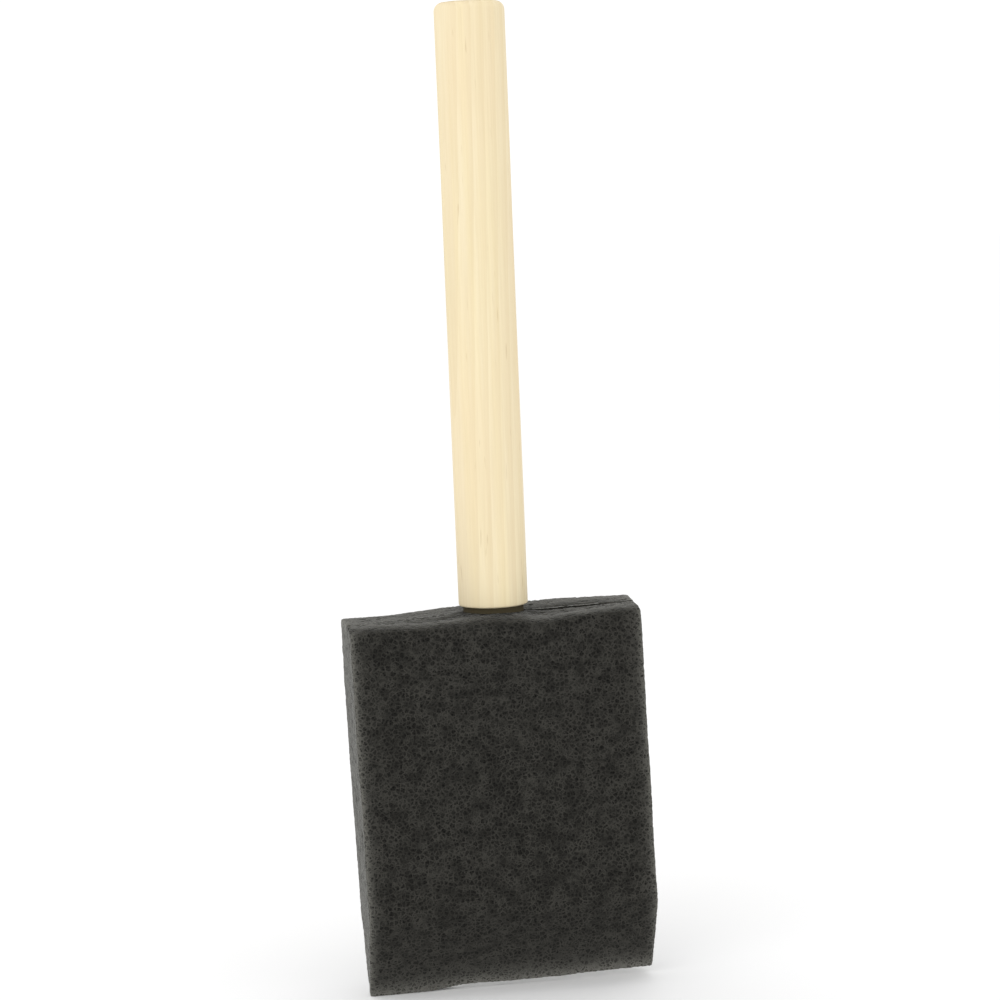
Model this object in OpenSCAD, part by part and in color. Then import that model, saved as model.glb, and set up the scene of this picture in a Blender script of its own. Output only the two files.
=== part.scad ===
// Foam sponge brush: a hardwood dowel glued into a moulded socket, whose flat blade is
// glued inside the slit of a foam block with a chisel edge.
// Millimetres. +Z runs up the handle, X across the foam, and the broad front face looks
// along -Y. The origin is the middle of the working edge, the lowest part of the foam.

/* [Foam head] */
// Width of the foam block
foam_w = 50; // [42:1:80]
// Thickness of the foam block
foam_t = 16; // [16:1:20]
// Height of the foam, from the working edge to the top face
foam_h = 65; // [60:1:80]
// Height of the two bevels that form the chisel edge
bevel_h = 14; // [12:1:14]
// Thickness of the flat left along the working edge
edge_t = 2; // [1:0.5:4]
// How far each broad face bulges where the socket spreads the slit
bulge = 2.2; // [0.5:0.1:3]

/* [Handle] */
// Diameter of the hardwood dowel
dowel_d = 12; // [9:0.5:12]
// Length of the dowel above the foam
dowel_out = 104; // [60:1:160]
// Length of the dowel's foot inside the socket
dowel_in = 18; // [12:1:20]
// How much the foot is turned down to enter the socket, on the diameter
foot_step = 1.6; // [0.4:0.2:2]
// Rounding of the dowel's upper end
end_round = 1.5; // [0.5:0.1:2.5]

/* [Core] */
// Wall of the moulded socket
socket_wall = 1.4; // [1:0.1:1.8]
// Depth of the socket's rim below the foam's top face
rim_drop = 1.5; // [0.5:0.5:4]
// Width of the blade inside the foam, without its barbs
blade_w = 34; // [30:1:38]
// Thickness of the blade
blade_t = 1.6; // [1.2:0.1:2]
// Barbs on each side of the blade
barb_count = 5; // [2:1:5]

/* [Flex] */
// Height of the line about which the foam below the blade bends
flex_z = 15; // [15:0.5:16]
// Bend to either side
flex_deg = 35; // [10:1:35]

/* [Hidden] */
$fn = 96;

wood_colour = [0.93, 0.86, 0.70];
plastic_colour = [0.92, 0.92, 0.90];
glue_colour = [0.85, 0.80, 0.62];
foam_colour = [0.20, 0.20, 0.19];

eps = 0.01;             // overlap of the pieces that are joined into one solid
gap = 0.2;              // room between the core and the foam around it

// Foam block
foam_half = foam_t / 2;
bulge_half_w = 20;      // half the width of the bulge across the foam
bulge_flat = 0.3;       // how far the bulge's round back is cut down to its flat crest
bulge_full = 6;         // height over which the bulge keeps its full depth
bulge_h = 26;           // height of the whole bulge, down from the top face

// Dowel
shoulder_gap = 1.8;     // the dowel's full diameter starts this far above the foam
foot_round = 0.8;
foot_r = (dowel_d - foot_step) / 2;
dowel_low = foam_h - dowel_in;
dowel_high = foam_h + dowel_out;
shoulder_z = foam_h + shoulder_gap;

// Socket, and the glue that holds the dowel in it
glue_film = 0.1;        // glue between the foot and the socket's wall
glue_floor = 0.5;       // glue under the foot
glue_drop = 2;          // depth of the glue below the socket's rim
socket_base = 1.6;      // thickness of the socket's closed end
nose_h = 11;            // cone below the socket that runs out into the blade
nose_r = 1.2;
socket_in_r = foot_r + glue_film;
socket_out_r = socket_in_r + socket_wall;
socket_rim = foam_h - rim_drop;
socket_floor = dowel_low - glue_floor;
socket_low = socket_floor - socket_base;
nose_low = socket_low - nose_h;

// Blade, with its barbs and ribs
blade_over_knuckle = 2; // foam left between the knuckle's seat and the blade
blade_below_rim = 3;
blade_round = 4;        // rounding of the blade's lower corners
shoulder_drop = 6;      // slope of the blade's shoulders beside the socket
barb_out = 1;
barb_h = 2.6;
barb_margin = 2;        // plain edge left below the lowest barb
rib_w = 0.8;
rib_out = 0.5;
rib_x = [4, 13];
rib_margin = 3;         // blade left plain below the ribs
blade_low = flex_z + foam_half + blade_over_knuckle;
blade_high = socket_rim - blade_below_rim;
shoulder_low = blade_high - shoulder_drop;
barb_low = blade_low + blade_round + barb_margin;
barb_step = (shoulder_low - barb_h - barb_low) / (barb_count - 1);
rib_low = blade_low + rib_margin;
rib_high = socket_low - eps;

// Hot-melt strips, and the holes in the blade that they run through
key_r = 2;
key_x = 9;
key_rise = [5, 11.5];   // heights of the holes above the blade's lower edge
strip_w = 5.5;
strip_rise = 1;         // start of the strips above the blade's lower edge
strip_drop = 4;         // end of the strips below the socket's closed end
strip_low = blade_low + strip_rise;
strip_high = socket_low - strip_drop;

// Slit in the foam
slit_w = blade_w + 2 * barb_out + 2 * gap;
slit_half = blade_t / 2 + rib_out + gap;
slit_low = blade_low - gap;

// Clearance for the flex: the flank is the tip's widest corner, below the flex line
knuckle_gap = 0.3;      // room between the tip's knuckle and its seat
lip_clear = 0.8;        // room between the raised flank and the head's lip
flank_drop = flex_z - bevel_h;
flank_r = sqrt(pow(foam_half, 2) + pow(flank_drop, 2));
flank_rise = flank_r * sin(flex_deg - atan2(flank_drop, foam_half));
lip_z = flex_z + flank_rise + lip_clear;

// Extrudes a YZ outline along X, centred on the YZ plane.
module along_x(width) {
    rotate([90, 0, 90])
        translate([0, 0, -width / 2])
            linear_extrude(width)
                children();
}

// Extrudes an XZ outline along Y, centred on the XZ plane.
module along_y(depth) {
    rotate([90, 0, 0])
        translate([0, 0, -depth / 2])
            linear_extrude(depth)
                children();
}

// Turned rod from z = 0 up, with its far rim rounded.
module rod_with_round_end(radius, length, rim) {
    rotate_extrude() {
        square([radius, length - rim]);
        square([radius - rim, length]);
        translate([radius - rim, length - rim])
            circle(rim);
    }
}

module handle() {
    color(wood_colour) {
        translate([0, 0, shoulder_z])
            rod_with_round_end(dowel_d / 2, dowel_high - shoulder_z, end_round);
        // the foot, rounded below, runs just into the full diameter
        translate([0, 0, shoulder_z + eps])
            mirror([0, 0, 1])
                rod_with_round_end(foot_r, shoulder_z + eps - dowel_low, foot_round);
    }
}

// Outline of the blade in XZ: round lower corners and sloping shoulders.
module blade_outline() {
    half = blade_w / 2;
    round_z = blade_low + blade_round;
    translate([-half, round_z])
        square([blade_w, shoulder_low - round_z]);
    translate([-half + blade_round, blade_low])
        square([blade_w - 2 * blade_round, blade_round + eps]);
    for (side = [-1, 1])
        translate([side * (half - blade_round), round_z])
            circle(blade_round);
    polygon([
        [-half, shoulder_low - eps],
        [half, shoulder_low - eps],
        [socket_in_r, blade_high],
        [-socket_in_r, blade_high]
    ]);
}

// Saw-tooth barbs on both edges, which stop the foam from being pulled off.
module barbs() {
    for (side = [-1, 1], i = [0 : barb_count - 1])
        translate([side * blade_w / 2, barb_low + i * barb_step])
            polygon([[-side, 0], [0, 0], [side * barb_out, barb_h], [-side, barb_h]]);
}

module key_holes(side) {
    for (rise = key_rise)
        translate([side * key_x, blade_low + rise])
            circle(key_r);
}

module blade_plate() {
    along_y(blade_t)
        difference() {
            union() {
                blade_outline();
                barbs();
            }
            key_holes(-1);
            key_holes(1);
        }
}

module blade_ribs() {
    for (side = [-1, 1], x = rib_x)
        translate([side * x - rib_w / 2, -blade_t / 2 - rib_out, rib_low])
            cube([rib_w, blade_t + 2 * rib_out, rib_high - rib_low]);
}

module blade_core() {
    color(plastic_colour)
        difference() {
            union() {
                translate([0, 0, socket_low])
                    cylinder(r = socket_out_r, h = socket_rim - socket_low);
                translate([0, 0, nose_low])
                    cylinder(r1 = nose_r, r2 = socket_out_r, h = nose_h);
                blade_plate();
                blade_ribs();
            }
            translate([0, 0, socket_floor])
                cylinder(r = socket_in_r, h = foam_h);
        }
}

// Cured glue under the dowel's foot and up its side.
module socket_glue() {
    color(glue_colour)
        difference() {
            translate([0, 0, socket_floor])
                cylinder(r = socket_in_r, h = socket_rim - glue_drop - socket_floor);
            translate([0, 0, dowel_low])
                cylinder(r = foot_r, h = foam_h);
        }
}

// One strip of hot-melt glue, from the blade's face to the foam.
module glue_strip(side, face) {
    strip_y = face > 0 ? blade_t / 2 : -slit_half;
    translate([side * key_x - strip_w / 2, strip_y, strip_low])
        cube([strip_w, slit_half - blade_t / 2, strip_high - strip_low]);
}

// Hot-melt glue on both faces, either side of the middle, keyed through the holes.
module blade_glue() {
    color(glue_colour)
        for (side = [-1, 1]) {
            along_y(blade_t)
                key_holes(side);
            for (face = [-1, 1])
                glue_strip(side, face);
        }
}

// The bulge about the socket: two shallow arcs in plan, flattened at their crests, that run
// out downwards.
module foam_bulge() {
    crest = foam_half + bulge;
    arc_rise = bulge + bulge_flat;
    arc_r = (pow(bulge_half_w, 2) + pow(arc_rise, 2)) / (2 * arc_rise);
    intersection() {
        linear_extrude(foam_h)
            intersection_for(face = [-1, 1])
                translate([0, face * (arc_r - foam_half - arc_rise)])
                    circle(arc_r);
        along_x(2 * bulge_half_w)
            polygon([
                [-crest, foam_h],
                [-crest, foam_h - bulge_full],
                [-foam_half, foam_h - bulge_h],
                [foam_half, foam_h - bulge_h],
                [crest, foam_h - bulge_full],
                [crest, foam_h]
            ]);
    }
}

module foam_head() {
    color(foam_colour)
        difference() {
            union() {
                translate([-foam_w / 2, -foam_half, lip_z])
                    cube([foam_w, foam_t, foam_h - lip_z]);
                foam_bulge();
            }
            // round seat for the tip's knuckle
            along_x(2 * foam_w)
                translate([0, flex_z])
                    circle(foam_half);
            // slit for the blade
            translate([-slit_w / 2, -slit_half, slit_low])
                cube([slit_w, 2 * slit_half, foam_h]);
            // room for the socket and for the cone below it
            translate([0, 0, socket_low])
                cylinder(r = socket_out_r + gap, h = foam_h);
            translate([0, 0, nose_low])
                cylinder(r1 = nose_r + gap, r2 = socket_out_r + gap, h = nose_h + eps);
        }
}

// The foam below the flex line, with the knuckle that turns in the head's seat.
module foam_tip() {
    color(foam_colour)
        along_x(foam_w) {
            translate([0, flex_z])
                circle(foam_half - knuckle_gap);
            polygon([
                [-foam_half, bevel_h],
                [-edge_t / 2, 0],
                [edge_t / 2, 0],
                [foam_half, bevel_h]
            ]);
        }
}

handle();
blade_core();
socket_glue();
blade_glue();
foam_head();
foam_tip();
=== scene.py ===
import math

import bpy
import numpy as np
from mathutils import Matrix, Vector, noise


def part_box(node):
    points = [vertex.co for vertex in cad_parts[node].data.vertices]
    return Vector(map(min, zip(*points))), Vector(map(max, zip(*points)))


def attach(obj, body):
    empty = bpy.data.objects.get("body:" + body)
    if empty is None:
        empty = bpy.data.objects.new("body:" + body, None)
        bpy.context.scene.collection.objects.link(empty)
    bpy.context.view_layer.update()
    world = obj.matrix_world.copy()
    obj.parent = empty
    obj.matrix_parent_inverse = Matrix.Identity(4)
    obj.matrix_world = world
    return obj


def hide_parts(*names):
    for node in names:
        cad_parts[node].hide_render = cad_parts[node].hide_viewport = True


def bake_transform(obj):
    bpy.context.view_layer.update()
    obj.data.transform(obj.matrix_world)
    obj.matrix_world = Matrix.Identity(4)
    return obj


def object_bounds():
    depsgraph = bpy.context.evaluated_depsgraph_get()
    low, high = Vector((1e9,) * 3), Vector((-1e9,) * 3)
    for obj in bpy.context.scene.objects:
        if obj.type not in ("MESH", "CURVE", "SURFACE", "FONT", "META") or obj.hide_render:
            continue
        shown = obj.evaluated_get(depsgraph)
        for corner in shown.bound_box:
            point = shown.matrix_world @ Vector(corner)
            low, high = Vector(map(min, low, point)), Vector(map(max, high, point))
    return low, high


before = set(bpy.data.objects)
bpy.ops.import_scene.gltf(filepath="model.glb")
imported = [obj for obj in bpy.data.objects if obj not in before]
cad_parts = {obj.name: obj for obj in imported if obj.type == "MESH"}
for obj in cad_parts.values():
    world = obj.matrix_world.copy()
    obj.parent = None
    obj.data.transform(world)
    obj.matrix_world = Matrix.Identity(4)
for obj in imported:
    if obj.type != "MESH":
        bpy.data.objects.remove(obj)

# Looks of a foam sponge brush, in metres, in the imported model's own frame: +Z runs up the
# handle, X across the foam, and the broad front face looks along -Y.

cad_low, cad_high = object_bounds()

MM = 0.001

# ---------------------------------------------------------------- sizes from the frame

_, HEAD_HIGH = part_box("foam_head")
_, TIP_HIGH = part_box("foam_tip")
HANDLE_LOW, HANDLE_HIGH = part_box("handle")
CORE_LOW, CORE_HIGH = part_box("blade_core")
GLUE_LOW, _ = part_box("socket_glue")

FOAM_HALF_W = HEAD_HIGH.x
FOAM_HALF_T = TIP_HIGH.y
FOAM_TOP = HEAD_HIGH.z
BULGE = HEAD_HIGH.y - FOAM_HALF_T

DOWEL_R = HANDLE_HIGH.x
DOWEL_LOW = HANDLE_LOW.z
DOWEL_HIGH = HANDLE_HIGH.z

SOCKET_BASE = 1.6 * MM          # thickness of the socket's closed end
NOSE_H = 11 * MM                # height of the cone below it
SOCKET_R = CORE_HIGH.y
SOCKET_RIM = CORE_HIGH.z
SOCKET_LOW = GLUE_LOW.z - SOCKET_BASE
NOSE_LOW = SOCKET_LOW - NOSE_H
BLADE_LOW = CORE_LOW.z
BLADE_HALF_W = CORE_HIGH.x

# ---------------------------------------------------------------- camera, lights, stage

CAMERA_AZIMUTH = math.radians(-8.7)
CAMERA_ELEVATION = math.radians(6)
CAMERA_ROLL = math.radians(2.33)
CAMERA_DISTANCE = 0.5
CAMERA_LENS = 105.2
CAMERA_AIM = Vector((1.9 * MM, 0, 84.6 * MM))

SKY_STRENGTH = 1.06
KEY_PLACE = (-0.7, -0.9, 0.8)
KEY_WIDTH = 0.9
KEY_POWER = 2.5
FLOOR_HALF = 6


def make_camera():
    """The camera, a little to the left of straight ahead and a little above, slightly rolled."""
    data = bpy.data.cameras.new("camera")
    data.lens = CAMERA_LENS
    data.clip_start = 0.01
    data.clip_end = 20
    camera = bpy.data.objects.new("camera", data)
    bpy.context.scene.collection.objects.link(camera)
    back = Vector((
        math.sin(CAMERA_AZIMUTH) * math.cos(CAMERA_ELEVATION),
        -math.cos(CAMERA_AZIMUTH) * math.cos(CAMERA_ELEVATION),
        math.sin(CAMERA_ELEVATION),
    ))
    facing = (-back).to_track_quat("-Z", "Y").to_matrix().to_4x4()
    roll = Matrix.Rotation(-CAMERA_ROLL, 4, "Z")
    camera.matrix_world = Matrix.Translation(CAMERA_AIM + back * CAMERA_DISTANCE) @ facing @ roll
    bpy.context.scene.camera = camera


def make_key_light():
    """A large square softbox at the upper left that faces the middle of the brush."""
    data = bpy.data.lights.new("key", "AREA")
    data.shape = "SQUARE"
    data.size = KEY_WIDTH
    data.energy = KEY_POWER
    light = bpy.data.objects.new("key", data)
    bpy.context.scene.collection.objects.link(light)
    middle = Vector((0, 0, (cad_low.z + cad_high.z) / 2))
    light.location = KEY_PLACE
    light.rotation_mode = "QUATERNION"
    light.rotation_quaternion = (middle - Vector(KEY_PLACE)).to_track_quat("-Z", "Y")


def make_surroundings():
    """White surroundings, and colours shown as they are, with no film curve."""
    world = bpy.data.worlds.new("surroundings")
    world.use_nodes = True
    sky = world.node_tree.nodes["Background"]
    sky.inputs["Color"].default_value = (1, 1, 1, 1)
    sky.inputs["Strength"].default_value = SKY_STRENGTH
    bpy.context.scene.world = world
    view = bpy.context.scene.view_settings
    view.view_transform = "Standard"
    view.look = "None"


def make_floor():
    """A large pale floor under the working edge."""
    half = FLOOR_HALF
    corners = [(-half, -half, 0), (half, -half, 0), (half, half, 0), (-half, half, 0)]
    floor = mesh_object("floor", corners, [(0, 1, 2, 3)])
    material, _, shader = new_material("floor_paint")
    shader.inputs["Base Color"].default_value = (0.96, 0.96, 0.96, 1)
    shader.inputs["Roughness"].default_value = 1.0
    shader.inputs["Specular IOR Level"].default_value = 0.0
    floor.data.materials.append(material)


# ---------------------------------------------------------------- meshes and nodes


def mesh_object(name, points, faces):
    """A smooth-shaded mesh object made from points and faces."""
    data = bpy.data.meshes.new(name)
    data.from_pydata([tuple(p) for p in points], [], [tuple(f) for f in faces])
    data.validate()
    data.shade_smooth()
    made = bpy.data.objects.new(name, data)
    bpy.context.scene.collection.objects.link(made)
    return made


def new_material(name):
    """A material with its node tree and its shader."""
    material = bpy.data.materials.new(name)
    material.use_nodes = True
    tree = material.node_tree
    return material, tree, tree.nodes["Principled BSDF"]


def add_node(tree, kind, inputs=None, **settings):
    """Adds a node, sets its properties, and sets or links its inputs by name or number."""
    made = tree.nodes.new(kind)
    for name, value in settings.items():
        setattr(made, name, value)
    for name, value in (inputs or {}).items():
        if isinstance(value, bpy.types.NodeSocket):
            tree.links.new(value, made.inputs[name])
        else:
            made.inputs[name].default_value = value
    return made


def math_node(tree, operation, *values):
    """The result of a math node."""
    return add_node(tree, "ShaderNodeMath", dict(enumerate(values)), operation=operation).outputs[0]


def vector_node(tree, operation, inputs):
    """The result of a vector math node."""
    return add_node(tree, "ShaderNodeVectorMath", inputs, operation=operation).outputs[0]


def remap(tree, value, low, high, to_low=0.0, to_high=1.0):
    """value, taken smoothly from low..high to to_low..to_high."""
    inputs = {"Value": value, "From Min": low, "From Max": high, "To Min": to_low, "To Max": to_high}
    made = add_node(tree, "ShaderNodeMapRange", inputs, interpolation_type="SMOOTHSTEP")
    return made.outputs["Result"]


def mix_colour(tree, factor, a, b):
    """Two colours mixed by factor."""
    return add_node(tree, "ShaderNodeMix", {"Factor": factor, 6: a, 7: b}, data_type="RGBA").outputs[2]


def own_place(tree):
    """The piece's own coordinates, in metres."""
    return add_node(tree, "ShaderNodeTexCoord").outputs["Object"]


def component(tree, vector, name):
    """One component of a vector."""
    return add_node(tree, "ShaderNodeSeparateXYZ", {"Vector": vector}).outputs[name]


def noise_value(tree, scale, detail=3.0, roughness=0.5):
    """Noise of about 0 to 1, with scale blotches to a metre along X, Y and Z."""
    stretched = {"Vector": own_place(tree), "Scale": scale}
    vector = add_node(tree, "ShaderNodeMapping", stretched).outputs["Vector"]
    inputs = {"Vector": vector, "Scale": 1.0, "Detail": detail, "Roughness": roughness}
    return add_node(tree, "ShaderNodeTexNoise", inputs).outputs["Fac"]


def even(scale):
    """The same scale along X, Y and Z."""
    return (scale, scale, scale)


def bump(tree, height, distance, strength, under=None):
    """A normal raised by height, distance metres deep, on top of an earlier bump."""
    inputs = {"Height": height, "Distance": distance, "Strength": strength}
    if under is not None:
        inputs["Normal"] = under
    return add_node(tree, "ShaderNodeBump", inputs).outputs["Normal"]


# ---------------------------------------------------------------- materials

EDGE_LIGHT_ATTRIBUTE = "painted_edge_light"                   # the foam mesh's attribute: how much painted highlight a point takes near the cut edges
PORE = 0.75 * MM                # width of the foam's larger cells
FINE_PORE = 0.48 * PORE
CELL_WARP = 1.1 * MM            # width of the noise that bends the cells' outlines
CELL_SHIFT = 0.5 * MM
BLOTCH = 1.8 * MM               # width of the foam's lighter and darker patches

# The first colour is painted shade, near black, for the inside of the open cells
FOAM_CELL_SHADE = (0.0034, 0.0033, 0.0029, 1)
FOAM_LIGHT = (0.041, 0.0395, 0.0345, 1)
# A painted highlight, for the light caught along the cut edges
FOAM_EDGE_HIGHLIGHT = (0.20, 0.196, 0.175, 1)

EARLY_WOOD = (0.840, 0.735, 0.510, 1)
LATE_WOOD = (0.745, 0.615, 0.385, 1)
STREAK_WOOD = (0.86, 0.735, 0.445, 1)
CLOUD_WOOD = (0.82, 0.655, 0.43, 1)
FIBRE_WOOD = (0.70, 0.575, 0.35, 1)
FLECK_WOOD = (0.48, 0.34, 0.17, 1)
END_EARLY_WOOD = (0.70, 0.56, 0.36, 1)
END_LATE_WOOD = (0.46, 0.33, 0.18, 1)
END_VESSELS = (0.42, 0.30, 0.17, 1)
# Painted shade: the dark brown of the dowel's foot below the shoulder, for the shade in the gap above
# the foam
FOOT_PAINTED_SHADE = (0.040, 0.030, 0.010, 1)

PLASTIC_PALE = (0.80, 0.80, 0.77, 1)
PLASTIC_FLOW = (0.72, 0.72, 0.69, 1)
GLUE_PALE = (0.70, 0.60, 0.36, 1)
GLUE_DEEP = (0.56, 0.44, 0.22, 1)


def foam_struts(tree, place, size):
    """1 on the thin struts between cells and 0 in the cells, some of which stay half shut."""
    cells = {"Vector": place, "Scale": 1 / size, "Randomness": 1.0}
    by_edge = add_node(tree, "ShaderNodeTexVoronoi", cells, feature="DISTANCE_TO_EDGE")
    by_cell = add_node(tree, "ShaderNodeTexVoronoi", cells)
    strut = remap(tree, by_edge.outputs["Distance"], 0.02, 0.24, 1.0, 0.0)
    shut = remap(tree, component(tree, by_cell.outputs["Color"], "X"), 0.5, 1.0, 0.0, 0.55)
    return math_node(tree, "MAXIMUM", strut, shut)


def foam_material():
    """Dark open-cell foam: pits painted near black as painted shade between lighter struts, and a
    painted highlight along the cut edges for the light they catch.
    """
    material, tree, shader = new_material("dark_foam")
    place = own_place(tree)
    warp = {"Vector": place, "Scale": 1 / CELL_WARP, "Detail": 1.0}
    warp = add_node(tree, "ShaderNodeTexNoise", warp).outputs["Color"]
    shift = vector_node(tree, "SCALE", {"Vector": warp, "Scale": CELL_SHIFT})
    bent = vector_node(tree, "ADD", {0: place, 1: shift})
    coarse = foam_struts(tree, bent, PORE)
    fine = foam_struts(tree, bent, FINE_PORE)
    struts = math_node(tree, "MULTIPLY_ADD", fine, 0.45, math_node(tree, "MULTIPLY", coarse, 0.55))
    patches = remap(tree, noise_value(tree, even(1 / BLOTCH)), 0.3, 0.7, 0.55, 1.25)
    tone = math_node(tree, "MINIMUM", math_node(tree, "MULTIPLY", struts, patches), 1.0)
    # Painted highlight along the cut edges, strongest on the struts
    edge_lit = add_node(tree, "ShaderNodeAttribute", attribute_name=EDGE_LIGHT_ATTRIBUTE).outputs["Fac"]
    edge_lit = math_node(tree, "MULTIPLY", edge_lit, remap(tree, struts, 0.0, 0.8, 0.15, 0.75))
    # The cells take painted shade, near black, and the struts the foam's own colour
    colour = mix_colour(tree, tone, FOAM_CELL_SHADE, FOAM_LIGHT)
    colour = mix_colour(tree, edge_lit, colour, FOAM_EDGE_HIGHLIGHT)
    tree.links.new(colour, shader.inputs["Base Color"])
    tree.links.new(bump(tree, coarse, 0.15 * MM, 0.25), shader.inputs["Normal"])
    shader.inputs["Roughness"].default_value = 0.95
    shader.inputs["Specular IOR Level"].default_value = 0.1
    shader.inputs["Sheen Weight"].default_value = 0.4
    shader.inputs["Sheen Roughness"].default_value = 0.3
    shader.inputs["Sheen Tint"].default_value = (0.95, 0.95, 0.9, 1)
    return material


def growth_rings(tree):
    """Growth rings about the tree's centre, which lies well outside the dowel."""
    centre = {"Location": (31 * MM, 12 * MM, 0), "Rotation": (0.012, -0.02, 0)}
    centred = add_node(tree, "ShaderNodeMapping", {"Vector": own_place(tree), **centre})
    look = {"Scale": 150.0, "Distortion": 2.5, "Detail": 3.0, "Detail Scale": 0.15}
    settings = {"wave_type": "RINGS", "rings_direction": "Z", "wave_profile": "SAW"}
    inputs = {"Vector": centred.outputs["Vector"], **look}
    return add_node(tree, "ShaderNodeTexWave", inputs, **settings).outputs["Fac"]


def long_grain(tree, rings, fibres, fleck):
    """The wood's colour along the dowel, one mark over another."""
    streaks = noise_value(tree, (500, 500, 14))
    clouds = noise_value(tree, (90, 90, 22), detail=2)
    colour = EARLY_WOOD
    marks = (
        (remap(tree, rings, 0.1, 1.0, 0.0, 0.55), LATE_WOOD),
        (remap(tree, streaks, 0.35, 0.75, 0.0, 0.5), STREAK_WOOD),
        (remap(tree, clouds, 0.35, 0.7, 0.0, 0.35), CLOUD_WOOD),
        (remap(tree, fibres, 0.3, 0.75, 0.0, 0.35), FIBRE_WOOD),
        (math_node(tree, "MULTIPLY", fleck, 0.35), FLECK_WOOD),
    )
    for share, mark in marks:
        colour = mix_colour(tree, share, colour, mark)
    return colour


def end_grain(tree, rings):
    """The colour of the sawn end: darker late wood, and vessels cut across."""
    sawn = mix_colour(tree, remap(tree, rings, 0.55, 1.0), END_EARLY_WOOD, END_LATE_WOOD)
    solid = remap(tree, noise_value(tree, even(5200), detail=2), 0.35, 0.6)
    return mix_colour(tree, solid, END_VESSELS, sawn)


def birch_material():
    """Pale birch with faint rings, fine fibres, flecks and end grain, and a foot painted dark brown as
    painted shade below the shoulder.
    """
    material, tree, shader = new_material("birch_dowel")
    rings = growth_rings(tree)
    fibres = noise_value(tree, (2600, 2600, 70), detail=5, roughness=0.65)
    fleck = remap(tree, noise_value(tree, (1500, 1500, 160), detail=1), 0.70, 0.80)
    normal = add_node(tree, "ShaderNodeNewGeometry").outputs["Normal"]
    sawn_end = remap(tree, component(tree, normal, "Z"), 0.75, 1.0, 0.0, 0.5)
    height = component(tree, own_place(tree), "Z")
    # Painted shade: below the shoulder the foot is painted dark, for the shade in the recess above the
    # foam
    foot_shade = remap(tree, height, SHOULDER_Z - 0.05 * MM, SHOULDER_Z + 0.05 * MM, 0.92, 0.0)
    colour = mix_colour(tree, sawn_end, long_grain(tree, rings, fibres, fleck), end_grain(tree, rings))
    colour = mix_colour(tree, foot_shade, colour, FOOT_PAINTED_SHADE)
    tree.links.new(colour, shader.inputs["Base Color"])
    tree.links.new(remap(tree, fibres, 0.2, 0.8, 0.55, 0.75), shader.inputs["Roughness"])
    relief = bump(tree, fibres, 0.05 * MM, 0.35)
    relief = bump(tree, math_node(tree, "SUBTRACT", 1.0, fleck), 0.05 * MM, 0.3, relief)
    tree.links.new(relief, shader.inputs["Normal"])
    shader.inputs["Specular IOR Level"].default_value = 0.3
    return material


def core_material():
    """Natural moulded plastic with faint flow marks and a fine satin texture."""
    material, tree, shader = new_material("natural_plastic")
    flow = remap(tree, noise_value(tree, (160, 160, 60), detail=2), 0.3, 0.7)
    grain = noise_value(tree, even(6000), detail=2)
    tree.links.new(mix_colour(tree, flow, PLASTIC_PALE, PLASTIC_FLOW), shader.inputs["Base Color"])
    tree.links.new(remap(tree, grain, 0.2, 0.8, 0.38, 0.55), shader.inputs["Roughness"])
    tree.links.new(bump(tree, grain, 0.02 * MM, 0.3), shader.inputs["Normal"])
    shader.inputs["Subsurface Weight"].default_value = 0.1
    shader.inputs["Subsurface Scale"].default_value = 1 * MM
    return material


def glue_material():
    """Set hot-melt glue: amber, cloudy, smooth."""
    material, tree, shader = new_material("set_glue")
    cloud = noise_value(tree, even(400), detail=4)
    colour = mix_colour(tree, remap(tree, cloud, 0.3, 0.7), GLUE_PALE, GLUE_DEEP)
    tree.links.new(colour, shader.inputs["Base Color"])
    tree.links.new(remap(tree, cloud, 0.2, 0.8, 0.2, 0.35), shader.inputs["Roughness"])
    tree.links.new(bump(tree, cloud, 0.1 * MM, 0.3), shader.inputs["Normal"])
    shader.inputs["Transmission Weight"].default_value = 0.3
    return material


# ---------------------------------------------------------------- handle

SHOULDER_Z = FOAM_TOP + 1.8 * MM    # where the dowel's full diameter starts
FOOT_R = DOWEL_R - 0.8 * MM
FOOT_ROUND = 0.8 * MM
SHOULDER_ROUND = 0.3 * MM
END_ROUND = 1.5 * MM

AROUND = 160                    # quads round the dowel
SHAFT_STEP = 0.55 * MM          # height of the shaft's quads
FOOT_STEP = 2 * MM              # height of the foot's quads, which stay inside the brush
FIBRE_DEPTH = 0.018 * MM
RIDGE_DEPTH = 0.03 * MM
WEAR_DEPTH = 0.03 * MM
RELIEF_INSET = 0.05 * MM        # keeps the relief inside the dowel's true radius
SAWN_DEPTH = 0.03 * MM
SAWN_INSET = 0.04 * MM          # keeps the sawn end below the dowel's true top


def arc(centre_r, centre_z, radius, start, end, steps):
    """Profile points (r, z) on an arc, angles in degrees from outward, +90 up."""
    return [
        (
            centre_r + radius * math.cos(math.radians(start + (end - start) * i / steps)),
            centre_z + radius * math.sin(math.radians(start + (end - start) * i / steps)),
        )
        for i in range(steps + 1)
    ]


def run(r, low, high, step):
    """Profile points (r, z) up a straight wall, without its two ends."""
    count = max(1, round((high - low) / step))
    return [(r, low + (high - low) * i / count) for i in range(1, count)]


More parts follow.
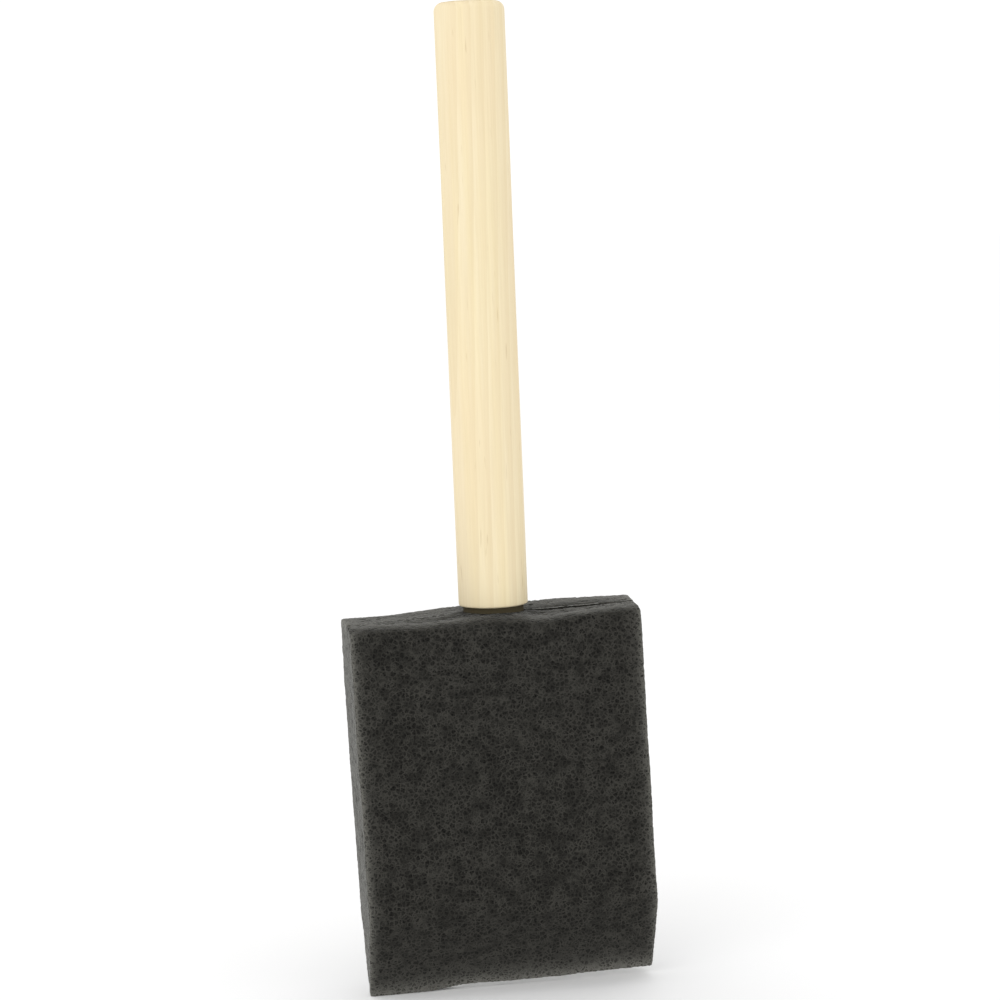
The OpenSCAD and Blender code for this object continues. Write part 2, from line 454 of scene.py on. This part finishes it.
def handle_profile():
    """The dowel's outline from the middle of its foot to the middle of its upper end."""
    foot_face = [((FOOT_R - FOOT_ROUND) * i / 4, DOWEL_LOW) for i in range(4)]
    foot_edge = arc(FOOT_R - FOOT_ROUND, DOWEL_LOW + FOOT_ROUND, FOOT_ROUND, -90, 0, 4)
    foot = run(FOOT_R, DOWEL_LOW + FOOT_ROUND, SHOULDER_Z, FOOT_STEP)
    step = [(FOOT_R, SHOULDER_Z)]
    shoulder = arc(DOWEL_R - SHOULDER_ROUND, SHOULDER_Z + SHOULDER_ROUND, SHOULDER_ROUND, -90, 0, 4)
    shaft = run(DOWEL_R, SHOULDER_Z + SHOULDER_ROUND, DOWEL_HIGH - END_ROUND, SHAFT_STEP)
    end_edge = arc(DOWEL_R - END_ROUND, DOWEL_HIGH - END_ROUND, END_ROUND, 0, 90, 8)
    end_face = [((DOWEL_R - END_ROUND) * (1 - i / 8), DOWEL_HIGH) for i in range(1, 8)]
    return foot_face + foot_edge + foot + step + shoulder + shaft + end_edge + end_face


def grain_noise(point, across, along, start):
    """Noise with across waves to a metre over the dowel's section and along up its length."""
    return noise.noise(Vector((point.x * across, point.y * across, point.z * along + start)))


def wood_relief(point):
    """How far the wood's surface lies out from the true cylinder, mostly a little inside it."""
    fibre = FIBRE_DEPTH * grain_noise(point, 900, 30, 0)
    ridge = RIDGE_DEPTH * grain_noise(point, 260, 9, 7)
    wear = WEAR_DEPTH * grain_noise(point, 60, 40, 19)
    return fibre + ridge + wear - RELIEF_INSET


def build_handle():
    """The dowel as a turned mesh with the wood's fine relief worked into its surface."""
    profile = handle_profile()
    points = [Vector((0, 0, DOWEL_LOW))]
    for r, z in profile[1:]:
        for k in range(AROUND):
            turn = 2 * math.pi * k / AROUND
            outward = Vector((math.cos(turn), math.sin(turn), 0))
            place = outward * r + Vector((0, 0, z))
            if z > SHOULDER_Z and r > 0.5 * DOWEL_R:
                place += outward * wood_relief(place)
            if z > DOWEL_HIGH - END_ROUND:
                place.z += SAWN_DEPTH * grain_noise(place, 700, 0, 3) - SAWN_INSET
            points.append(place)
    points.append(Vector((0, 0, DOWEL_HIGH - SAWN_INSET)))
    faces = []
    rings = len(profile) - 1
    for k in range(AROUND):
        after = (k + 1) % AROUND
        faces.append((0, 1 + after, 1 + k))
        for i in range(rings - 1):
            low, high = 1 + i * AROUND, 1 + (i + 1) * AROUND
            faces.append((low + k, low + after, high + after, high + k))
        last = 1 + (rings - 1) * AROUND
        faces.append((last + k, last + after, len(points) - 1))
    handle = mesh_object("birch_handle", points, faces)
    handle.data.materials.append(birch_material())
    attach(handle, "brush")
    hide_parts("handle")


# ---------------------------------------------------------------- foam

# The block, and the bulge where the socket spreads it
BEVEL_H = 14 * MM
EDGE_T = 2 * MM                 # thickness of the working edge
BULGE_HALF_W = 20 * MM
BULGE_LOW = FOAM_TOP - 26 * MM
BULGE_FULL = FOAM_TOP - 4 * MM
CORNER_ROUND = 0.6 * MM         # upright corners
EDGE_ROUND = 0.3 * MM           # round the working edge
FLAT_MARGIN = 0.05 * MM         # between the working edge's flat and its rounding
TOP_ROUND = 1.0 * MM            # height of the rounding along the top
ENDS_ROLL = 0.3 * MM            # width of that rounding at the ends, the front and the back
FRONT_ROLL = 4.5 * MM
BACK_ROLL = 0.9 * MM

# The top face, which rises over the whole bulge, more at the dowel, and unevenly right of it
FRONT_RISE = 0.2 * MM
BACK_RISE = 0.25 * MM
FRONT_DOWEL_RISE = 0.35 * MM
BACK_DOWEL_RISE = 0.1 * MM
RISE_FULL = 5 * MM              # the rise at the dowel is full up to here on either side
RISE_GONE = 9 * MM
RISE_REACH = 1.6 * MM           # and fades over this distance from the slit
RIGHT_LIP = 14 * MM             # middle and reach of the uneven stretch
RIGHT_LIP_REACH = 9 * MM
RIGHT_RISE = 0.4 * MM           # there the back lip rises, and both dip towards the slit
FRONT_DIP = 0.3 * MM
FRONT_DIP_REACH = 7 * MM
BACK_DIP = 0.45 * MM
BACK_DIP_REACH = 1.2 * MM
LIP_SINK = 0.5 * MM             # the front lip slopes down this far over its reach
LIP_REACH = 4 * MM
SINK_NONE = 3 * MM              # but not in front of the dowel
SINK_FULL = 8 * MM

# How this block sits askew on the core, and its uneven cuts
FOAM_ASKEW = math.sin(math.radians(1.33))
ASKEW_PIVOT = 32 * MM           # height about which it is turned
ASKEW_LIFT = 0.3 * MM
ASKEW_NONE = 6 * MM             # the foam isn't turned this close to the dowel's axis
ASKEW_FULL = 14 * MM
END_NONE = 6 * MM
END_SKEW = 0.8 * MM             # the right end stands out this far at the back
END_TAPER = 0.35 * MM           # and is drawn in this far at the working edge
EDGE_BOW = 0.5 * MM             # the working edge rises this far right of its left end
BOW_NONE = -16 * MM
BOW_FULL = -6 * MM

# Painted highlight along the cut edges, pores and slow unevenness
EDGE_LIGHT_REACH = 0.75 * MM          # the painted edge highlight fades over this distance from a cut edge
EDGE_LIGHT_NONE = -6 * MM             # along the top, the painted edge highlight fades towards the front
EDGE_LIGHT_FULL = 2 * MM
BOTTOM_LIGHT_REACH = 1.6 * MM           # the working edge is painted pale, a painted highlight for the light it catches from below
BOTTOM_LIGHT_MOST = 1.2
PIT = 1.0 * MM                  # width of the pits
PIT_DEPTH = 0.15 * MM           # their depth, of which each has a random share
PIT_LEAST = 0.3
PIT_SPREAD = 2.5
PIT_MOST = 1.2
PIT_WALL = 0.03                 # a pit's side runs from here to here, in shares of its width
PIT_FLOOR = 0.4
FUZZ = 0.4 * MM                 # width and depth of the fuzz over everything
FUZZ_DEPTH = 0.05 * MM
SLOW_WAVE = 11 * MM             # widths of the slow unevenness, and how far each shifts a point
SLOW_SHIFT = 0.16
QUICK_WAVE = 3.5 * MM
QUICK_SHIFT = 0.06

# The mesh
ACROSS = 146                    # quads across the foam's width
THROUGH = 46                    # quads through its thickness, an even number
UP = 178                        # quads up its height between the rounded edges
EDGE_STEPS = 3                  # quads over the rounding of the working edge
ROUND_STEPS = 10                # quads over the rounding along the top
POCKET_ROWS = 26                # quads down the pocket, crowded towards the slit
POCKET_CROWD = 1.9
PORES_FADE = 12                 # pores fade out over the first twelfth of the pocket's depth

# The pocket that holds the core, open along the slit
POCKET_HALF_W = BLADE_HALF_W + 0.9 * MM
POCKET_HALF_T = 1.5 * MM
POCKET_LOW = BLADE_LOW - 0.6 * MM
POCKET_END = 0.7 * MM           # length over which the pocket closes at its ends
MOUTH_HALF = 0.12 * MM
BLADE_DROP = 4 * MM             # top of the blade below the foam's top, beside the socket
BLADE_SLOPE = 0.55              # of the blade's shoulders
MOUTH_DEPTH = 2.5 * MM          # height over which the slit opens below its mouth
FOOT_ROOM = 0.25 * MM
SOCKET_ROOM = 0.3 * MM
RIM_CLEAR = SOCKET_RIM + 0.15 * MM  # above the rim the pocket closes in on the dowel's foot
RIM_CLOSED = SOCKET_RIM + 0.5 * MM

noise.seed_set(1)               # without a seed, noise_vector differs from run to run


def smooth(low, high, value):
    """0 below low, 1 above high, and smooth between; value may be an array."""
    t = np.clip((value - low) / (high - low), 0.0, 1.0)
    return t * t * (3 - 2 * t)


def over_bulge(x):
    """1 at the bulge's middle, falling in a round curve to 0 at its sides."""
    return np.cos(np.clip(x / BULGE_HALF_W, -1, 1) * math.pi / 2)


def half_thickness(x, z):
    """Half the foam's thickness: the bevels below, and the bulge about the socket above."""
    bevel = EDGE_T / 2 + (FOAM_HALF_T - EDGE_T / 2) * np.clip(z / BEVEL_H, 0, 1)
    return bevel + BULGE * over_bulge(x) ** 2 * smooth(BULGE_LOW, BULGE_FULL, z)


def pocket_half(x, z):
    """Half the room inside the foam at x and z: the blade's slit, the cone and the socket."""
    blade_top = FOAM_TOP - BLADE_DROP - BLADE_SLOPE * np.maximum(np.abs(x) - FOOT_R, 0)
    slit = MOUTH_HALF + (POCKET_HALF_T - MOUTH_HALF) * smooth(-MOUTH_DEPTH, 0, blade_top - z)
    nose = SOCKET_R * np.clip((z - NOSE_LOW) / NOSE_H, 0, 1)
    closed = smooth(RIM_CLEAR, RIM_CLOSED, z)
    radius = (nose + SOCKET_ROOM) * (1 - closed) + (FOOT_R + FOOT_ROOM) * closed
    radius = np.where(z > NOSE_LOW, radius, 0)
    round_room = np.maximum(radius ** 2 - x ** 2, 0)
    ends = np.clip((POCKET_HALF_W - np.abs(x)) / POCKET_END, 0, 1)
    return np.sqrt(round_room + slit ** 2) * ends


def top_height(x, y, room):
    """The top face: its lips rise at the dowel, and right of it the back one stands higher."""
    bulge = over_bulge(x) ** 2
    right = np.exp(-((x - RIGHT_LIP) / RIGHT_LIP_REACH) ** 2)
    from_slit = np.abs(y) - room
    at_dowel = smooth(RISE_GONE, RISE_FULL, np.abs(x)) * np.exp(-from_slit / RISE_REACH)
    front_dip = FRONT_DIP * np.exp(-from_slit / FRONT_DIP_REACH)
    back_dip = BACK_DIP * np.exp(-from_slit / BACK_DIP_REACH)
    front = FRONT_RISE * bulge + FRONT_DOWEL_RISE * at_dowel - right * front_dip
    back = BACK_RISE * bulge + BACK_DOWEL_RISE * at_dowel + right * (RIGHT_RISE - back_dip)
    return FOAM_TOP + np.where(y < 0, front, back)


def lip_sink(x, y, z, room):
    """How far the front lip slopes down from the slit to its round edge, beside the dowel."""
    across = over_bulge(x) * smooth(SINK_NONE, SINK_FULL, np.abs(x))
    outward = smooth(0, LIP_REACH, np.abs(y) - room)
    upper = smooth(FOAM_TOP - LIP_REACH, FOAM_TOP - TOP_ROUND, z)
    return np.where(y < 0, LIP_SINK * across * outward * upper, 0)


def rounded(x, y, half_w, half_t):
    """Moves a point of a rectangle's outline onto its rounded corner."""
    r = np.minimum(CORNER_ROUND, 0.8 * half_t)
    core_x = np.clip(x, -(half_w - r), half_w - r)
    core_y = np.clip(y, -(half_t - r), half_t - r)
    out_x, out_y = x - core_x, y - core_y
    length = np.maximum(np.hypot(out_x, out_y), 1e-12)
    scale = np.where(length > 0.5 * r, r / length, 1.0)
    return core_x + out_x * scale, core_y + out_y * scale


def shares(count):
    """Evenly spaced shares from -1 to 1, count steps, both ends included."""
    return -1 + 2 * np.arange(count + 1) / count


def outline():
    """Shares (u, v) from -1 to 1 round the foam's outline, anticlockwise from the front left."""
    front = [(u, -1.0) for u in shares(ACROSS)[:-1]]
    right = [(1.0, v) for v in shares(THROUGH)[:-1]]
    back = [(-u, 1.0) for u, _ in front]
    left = [(-1.0, -v) for _, v in right]
    return np.array(front + right + back + left)


class FoamMesh:
    """Collects the foam's points and faces, and how much of the pores each point takes."""

    def __init__(self):
        self.points = []
        self.pores = []
        self.faces = []

    def add(self, points, pores):
        """Adds an array of points, with how much of the pores' depth each one takes."""
        first = len(self.points)
        self.points.extend(map(tuple, points))
        self.pores.extend(np.broadcast_to(pores, len(points)))
        return np.arange(first, first + len(points))

    def quads(self, grid, flip=False):
        """Faces over a 2-D array of point numbers."""
        a, b = grid[:-1, :-1], grid[1:, :-1]
        c, d = grid[1:, 1:], grid[:-1, 1:]
        corners = (a, d, c, b) if flip else (a, b, c, d)
        self.faces.extend(np.stack(corners, axis=-1).reshape(-1, 4).tolist())


def wall_rows():
    """Each ring's height, and how far it stands in at the ends, the front and the back."""
    rows = []
    for i in range(EDGE_STEPS):
        turn = math.pi / 2 * i / EDGE_STEPS
        inset = EDGE_ROUND * (1 - math.sin(turn))
        rows.append((EDGE_ROUND * (1 - math.cos(turn)), inset, inset, inset))
    low, high = EDGE_ROUND, FOAM_TOP - TOP_ROUND
    rows += [(low + (high - low) * i / UP, 0, 0, 0) for i in range(UP + 1)]
    for i in range(1, ROUND_STEPS + 1):
        turn = math.pi / 2 * i / ROUND_STEPS
        inset = 1 - math.cos(turn)
        height = high + TOP_ROUND * math.sin(turn)
        rows.append((height, ENDS_ROLL * inset, FRONT_ROLL * inset, BACK_ROLL * inset))
    return rows


def add_walls(foam):
    """The four sides, as rings from the working edge up; returns the rings' point numbers."""
    share = outline()
    rings = []
    for z, ends_in, front_in, back_in in wall_rows():
        half_w = FOAM_HALF_W - ends_in
        x = share[:, 0] * half_w
        half_t = half_thickness(x, z) - np.where(share[:, 1] < 0, front_in, back_in)
        x, y = rounded(x, share[:, 1] * half_t, half_w, half_t)
        near_top = np.clip((z - (FOAM_TOP - TOP_ROUND)) / TOP_ROUND, 0, 1) ** 2
        room = pocket_half(x, FOAM_TOP)
        rise = (top_height(x, y, room) - FOAM_TOP) * near_top
        height = z + rise - lip_sink(x, y, z, room)
        rings.append(foam.add(np.column_stack([x, y, height]), 1.0))
    rings = np.array(rings)
    closed = np.hstack([rings, rings[:, :1]])
    foam.quads(closed, flip=True)
    return rings


def ring_grid(ring):
    """A grid of point numbers, across by through, with the ring on its border and -1 inside."""
    grid = np.full((ACROSS + 1, THROUGH + 1), -1)
    front, right = ring[:ACROSS], ring[ACROSS:ACROSS + THROUGH]
    back = ring[ACROSS + THROUGH:2 * ACROSS + THROUGH]
    left = ring[2 * ACROSS + THROUGH:]
    grid[:ACROSS, 0] = front
    grid[ACROSS, :THROUGH] = right
    grid[ACROSS:0:-1, THROUGH] = back
    grid[0, THROUGH:0:-1] = left
    return grid


def add_working_edge(foam, ring):
    """The narrow flat along the working edge."""
    grid = ring_grid(ring)
    across, through = np.meshgrid(shares(ACROSS)[1:-1], shares(THROUGH)[1:-1], indexing="ij")
    x = across.ravel() * (FOAM_HALF_W - EDGE_ROUND)
    y = through.ravel() * (EDGE_T / 2 - EDGE_ROUND - FLAT_MARGIN)
    grid[1:-1, 1:-1] = foam.add(np.column_stack([x, y, 0 * x]), 1.0).reshape(across.shape)
    foam.quads(grid, flip=True)


def add_top(foam, ring):
    """The top face, split along the slit, and the pocket that runs down from the slit."""
    front, back = ring_grid(ring), ring_grid(ring)
    middle = THROUGH // 2
    v = shares(THROUGH)[1:-1]
    x_of = (FOAM_HALF_W - ENDS_ROLL) * shares(ACROSS)
    inside = np.flatnonzero(np.abs(x_of) < POCKET_HALF_W)
    first, last = inside[0] - 1, inside[-1] + 1
    for i in range(1, ACROSS):
        x = np.full(THROUGH - 1, x_of[i])
        room = pocket_half(x, FOAM_TOP) if first < i < last else 0 * x
        half_t = half_thickness(x, FOAM_TOP) - np.where(v < 0, FRONT_ROLL, BACK_ROLL)
        y = np.sign(v) * (room + (half_t - room) * np.abs(v))
        y[middle - 1] = -room[0]
        height = top_height(x, y, room) - lip_sink(x, y, FOAM_TOP, room)
        column = foam.add(np.column_stack([x, y, height]), 1.0)
        front[i, 1:-1] = column
        back[i, 1:-1] = column
        if first < i < last:
            lip = [x_of[i], room[0], top_height(x_of[i], room[0], room[0])]
            back[i, middle] = foam.add(np.array([lip]), 1.0)[0]
    foam.quads(front[:, :middle + 1])
    foam.quads(back[:, middle:])
    slit = slice(first, last + 1)
    add_pocket(foam, x_of[slit], front[slit, middle], back[slit, middle])


def add_pocket(foam, x_of, front_lip, back_lip):
    """Two facing walls down from the lips, joined at both ends and along the bottom."""
    depth = (np.arange(POCKET_ROWS + 1) / POCKET_ROWS) ** POCKET_CROWD
    front, back = [front_lip], [back_lip]
    for t in depth[1:]:
        walls = []
        for lip, side in ((front_lip, -1), (back_lip, 1)):
            lip_z = np.array([foam.points[n][2] for n in lip])
            z = lip_z + (POCKET_LOW - lip_z) * t
            room = pocket_half(x_of, z) if t < 1 else 0 * x_of
            walls.append(np.column_stack([x_of, side * room, z]))
        pore_share = max(0.0, 1 - t * PORES_FADE)
        front_row = foam.add(walls[0], pore_share)
        back_row = front_row.copy()
        if t < 1:
            back_row[1:-1] = foam.add(walls[1][1:-1], pore_share)
        front.append(front_row)
        back.append(back_row)
    foam.quads(np.array(front))
    foam.quads(np.array(back), flip=True)


def pore_depth(point):
    """How deep the surface lies at a point: round pits of random depth between thin walls."""
    near, centres = noise.voronoi(point / PIT)
    depth = min(PIT_LEAST + PIT_SPREAD * noise.noise(centres[0] * 3.7) ** 2, PIT_MOST)
    pit = smooth(PIT_WALL, PIT_FLOOR, near[1] - near[0]) * depth
    return PIT_DEPTH * pit + FUZZ_DEPTH * noise.noise(point / FUZZ)


def wobble(point):
    """The slow unevenness of cut foam."""
    slow = noise.noise_vector(point / SLOW_WAVE)
    quick = noise.noise_vector(point / QUICK_WAVE)
    return (slow * SLOW_SHIFT + quick * QUICK_SHIFT) * MM


def painted_edge_light(point):
    """The painted edge highlight: 1 on the block's cut edges, fading beside them; none at the top's
    front, most below.
    """
    x, y, z = point
    to_end = FOAM_HALF_W - abs(x)
    to_face = float(half_thickness(x, z)) - abs(y)
    upright = math.exp(-max(to_end, to_face, 0) / EDGE_LIGHT_REACH)
    upper = math.exp(-max(min(to_end, to_face), FOAM_TOP - z, 0) / EDGE_LIGHT_REACH)
    upper *= float(smooth(EDGE_LIGHT_NONE, EDGE_LIGHT_FULL, y))
    # Painted highlight along the working edge, for the light it catches from the floor
    bottom_lit = BOTTOM_LIGHT_MOST / (1 + (z / BOTTOM_LIGHT_REACH) ** 2)
    return max(upright, upper, bottom_lit)


def edge_bow(x, z):
    """How far the working edge, cut slightly bowed, rises to the right of its left end."""
    return EDGE_BOW * float(smooth(BOW_NONE, BOW_FULL, x)) * max(1 - z / BEVEL_H, 0)


def end_shift(x, y, z):
    """How far the foam towards its right end, cut slightly off square, is shifted along X."""
    above_bevel = min(z / BEVEL_H, 1)
    through = (y + FOAM_HALF_T) / (2 * FOAM_HALF_T)
    shift = END_SKEW * above_bevel * through - END_TAPER * (1 - above_bevel)
    return float(smooth(END_NONE, FOAM_HALF_W, x)) * shift


def set_askew(place):
    """A point of the block after its uneven cuts, turned with the block but not below the floor."""
    x = place.x + end_shift(place.x, place.y, place.z)
    turned = FOAM_ASKEW * float(smooth(ASKEW_NONE, ASKEW_FULL, abs(place.x)))
    height = place.z + turned * x + ASKEW_LIFT + edge_bow(x, place.z)
    return Vector((x - turned * (place.z - ASKEW_PIVOT), place.y, max(height, 0)))


def build_foam():
    """The foam block as one closed skin with real pores."""
    foam = FoamMesh()
    rings = add_walls(foam)
    add_working_edge(foam, rings[0])
    add_top(foam, rings[-1])
    block = mesh_object("foam_block", foam.points, foam.faces)
    edge_lit = block.data.attributes.new(EDGE_LIGHT_ATTRIBUTE, "FLOAT", "POINT")
    normals = [v.normal.copy() for v in block.data.vertices]
    for vertex, normal, share in zip(block.data.vertices, normals, foam.pores):
        place = vertex.co.copy()
        if share > 0:
            # The painted edge highlight, kept as an attribute for the foam's material
            edge_lit.data[vertex.index].value = painted_edge_light(place) * float(share)
            place += (wobble(place) - normal * pore_depth(vertex.co)) * float(share)
        vertex.co = set_askew(place)
    block.data.update()
    block.data.materials.append(foam_material())
    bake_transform(block)
    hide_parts("foam_head", "foam_tip")


def dress_cad_nodes():
    """Materials for the pieces whose CAD shape stays."""
    plastic, glue = core_material(), glue_material()
    for name, material in (("blade_core", plastic), ("socket_glue", glue), ("blade_glue", glue)):
        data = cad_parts[name].data
        data.materials.clear()
        data.materials.append(material)


make_camera()
make_surroundings()
make_key_light()
make_floor()
build_handle()
build_foam()
dress_cad_nodes()
